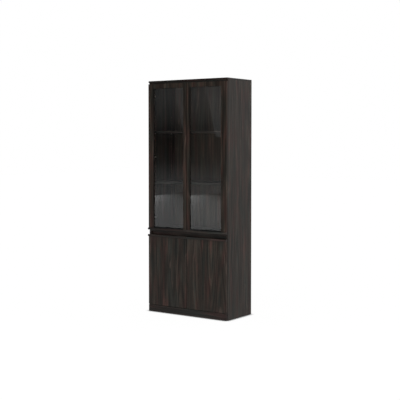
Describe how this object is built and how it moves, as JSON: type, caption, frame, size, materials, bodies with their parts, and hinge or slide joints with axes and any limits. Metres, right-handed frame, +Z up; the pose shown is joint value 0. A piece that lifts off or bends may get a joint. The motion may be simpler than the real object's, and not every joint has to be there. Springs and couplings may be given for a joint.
{
  "type": "bookcase with glass doors",
  "caption": "Tall dark wood bookcase with glazed doors above short panel doors, full-width handle strips and loose shelves.",
  "frame": {"origin": "middle of the bounding box on the floor, doors shut", "axes": "+Z up, +X to the right of someone facing the doors, +Y to the back; the doors face -Y"},
  "size_m": [0.9, 0.4296, 2.2],
  "materials": {
    "wenge_level_grain": "satin, dark brown straight grain along X",
    "wenge_upright_grain": "satin, dark brown straight grain along Z",
    "foiled_hardboard": "matt foil, dark brown",
    "dark_plastic": "matt",
    "clear_plastic": "soft, milky",
    "pane_glass": "clear float glass",
    "seal_rubber": "matt black",
    "beech": "raw",
    "cast_zinc": "cast, dull",
    "nickel_steel": "nickel plated"
  },
  "bodies": {
    "carcass": {"back_joint_profile": "dark_plastic", "back_panel_lower": "foiled_hardboard", "back_panel_upper": "foiled_hardboard", "bottom_panel": "wenge_level_grain", "cam_bolts": "nickel_steel", "cam_locks": "cast_zinc", "dowels": "beech", "floor_glides": "dark_plastic", "hinge_arms": "nickel_steel", "hinge_plates": "nickel_steel", "middle_panel": "wenge_level_grain", "plinth_back": "wenge_level_grain", "plinth_front": "wenge_level_grain", "recess_rail": "wenge_level_grain", "shelf_lower": "wenge_level_grain", "shelf_middle": "wenge_level_grain", "shelf_pins": "nickel_steel", "shelf_upper": "wenge_level_grain", "side_panel_left": "wenge_upright_grain", "side_panel_right": "wenge_upright_grain", "top_board": "wenge_level_grain", "top_panel": "wenge_level_grain"},
    "left_glass_door": {"left_glass_door_bumpers": "clear_plastic", "left_glass_door_frame": "wenge_upright_grain", "left_glass_door_handle_strip": "wenge_level_grain", "left_glass_door_hinge_cups": "nickel_steel", "left_glass_pane": "pane_glass", "left_glass_seal": "seal_rubber", "left_glazing_beads": "wenge_upright_grain"},
    "left_glass_links": {"left_glass_door_hinge_links": "nickel_steel"},
    "left_panel_door": {"left_panel_door_board": "wenge_upright_grain", "left_panel_door_bumpers": "clear_plastic", "left_panel_door_handle_strip": "wenge_level_grain", "left_panel_door_hinge_cups": "nickel_steel"},
    "left_panel_links": {"left_panel_door_hinge_links": "nickel_steel"},
    "right_glass_door": {"right_glass_door_bumpers": "clear_plastic", "right_glass_door_frame": "wenge_upright_grain", "right_glass_door_handle_strip": "wenge_level_grain", "right_glass_door_hinge_cups": "nickel_steel", "right_glass_pane": "pane_glass", "right_glass_seal": "seal_rubber", "right_glazing_beads": "wenge_upright_grain"},
    "right_glass_links": {"right_glass_door_hinge_links": "nickel_steel"},
    "right_panel_door": {"right_panel_door_board": "wenge_upright_grain", "right_panel_door_bumpers": "clear_plastic", "right_panel_door_handle_strip": "wenge_level_grain", "right_panel_door_hinge_cups": "nickel_steel"},
    "right_panel_links": {"right_panel_door_hinge_links": "nickel_steel"}
  },
  "joints": [
    {"name": "right_glass_door_swing", "type": "hinge", "parent": "carcass", "child": "right_glass_door", "pos_m": [0.443, -0.19675, 1.47775], "axis": [0, 0, 1], "range_deg": [0, 95]},
    {"name": "right_glass_links_swing", "type": "hinge", "parent": "carcass", "child": "right_glass_links", "pos_m": [0.414, -0.18525, 1.47775], "axis": [0, 0, 1], "range_deg": [-16.2, 0]},
    {"name": "left_glass_door_swing", "type": "hinge", "parent": "carcass", "child": "left_glass_door", "pos_m": [-0.443, -0.19675, 1.47775], "axis": [0, 0, -1], "range_deg": [0, 95]},
    {"name": "left_glass_links_swing", "type": "hinge", "parent": "carcass", "child": "left_glass_links", "pos_m": [-0.414, -0.18525, 1.47775], "axis": [0, 0, -1], "range_deg": [-16.2, 0]},
    {"name": "right_panel_door_swing", "type": "hinge", "parent": "carcass", "child": "right_panel_door", "pos_m": [0.443, -0.19675, 0.40375], "axis": [0, 0, 1], "range_deg": [0, 95]},
    {"name": "right_panel_links_swing", "type": "hinge", "parent": "carcass", "child": "right_panel_links", "pos_m": [0.414, -0.18525, 0.40375], "axis": [0, 0, 1], "range_deg": [-16.2, 0]},
    {"name": "left_panel_door_swing", "type": "hinge", "parent": "carcass", "child": "left_panel_door", "pos_m": [-0.443, -0.19675, 0.40375], "axis": [0, 0, -1], "range_deg": [0, 95]},
    {"name": "left_panel_links_swing", "type": "hinge", "parent": "carcass", "child": "left_panel_links", "pos_m": [-0.414, -0.18525, 0.40375], "axis": [0, 0, -1], "range_deg": [-16.2, 0]}
  ],
  "couplings": [
    {"joint": "right_glass_links_swing", "follows": "right_glass_door_swing", "ratio": -0.17},
    {"joint": "left_glass_links_swing", "follows": "left_glass_door_swing", "ratio": -0.17},
    {"joint": "right_panel_links_swing", "follows": "right_panel_door_swing", "ratio": -0.17},
    {"joint": "left_panel_links_swing", "follows": "left_panel_door_swing", "ratio": -0.17}
  ]
}
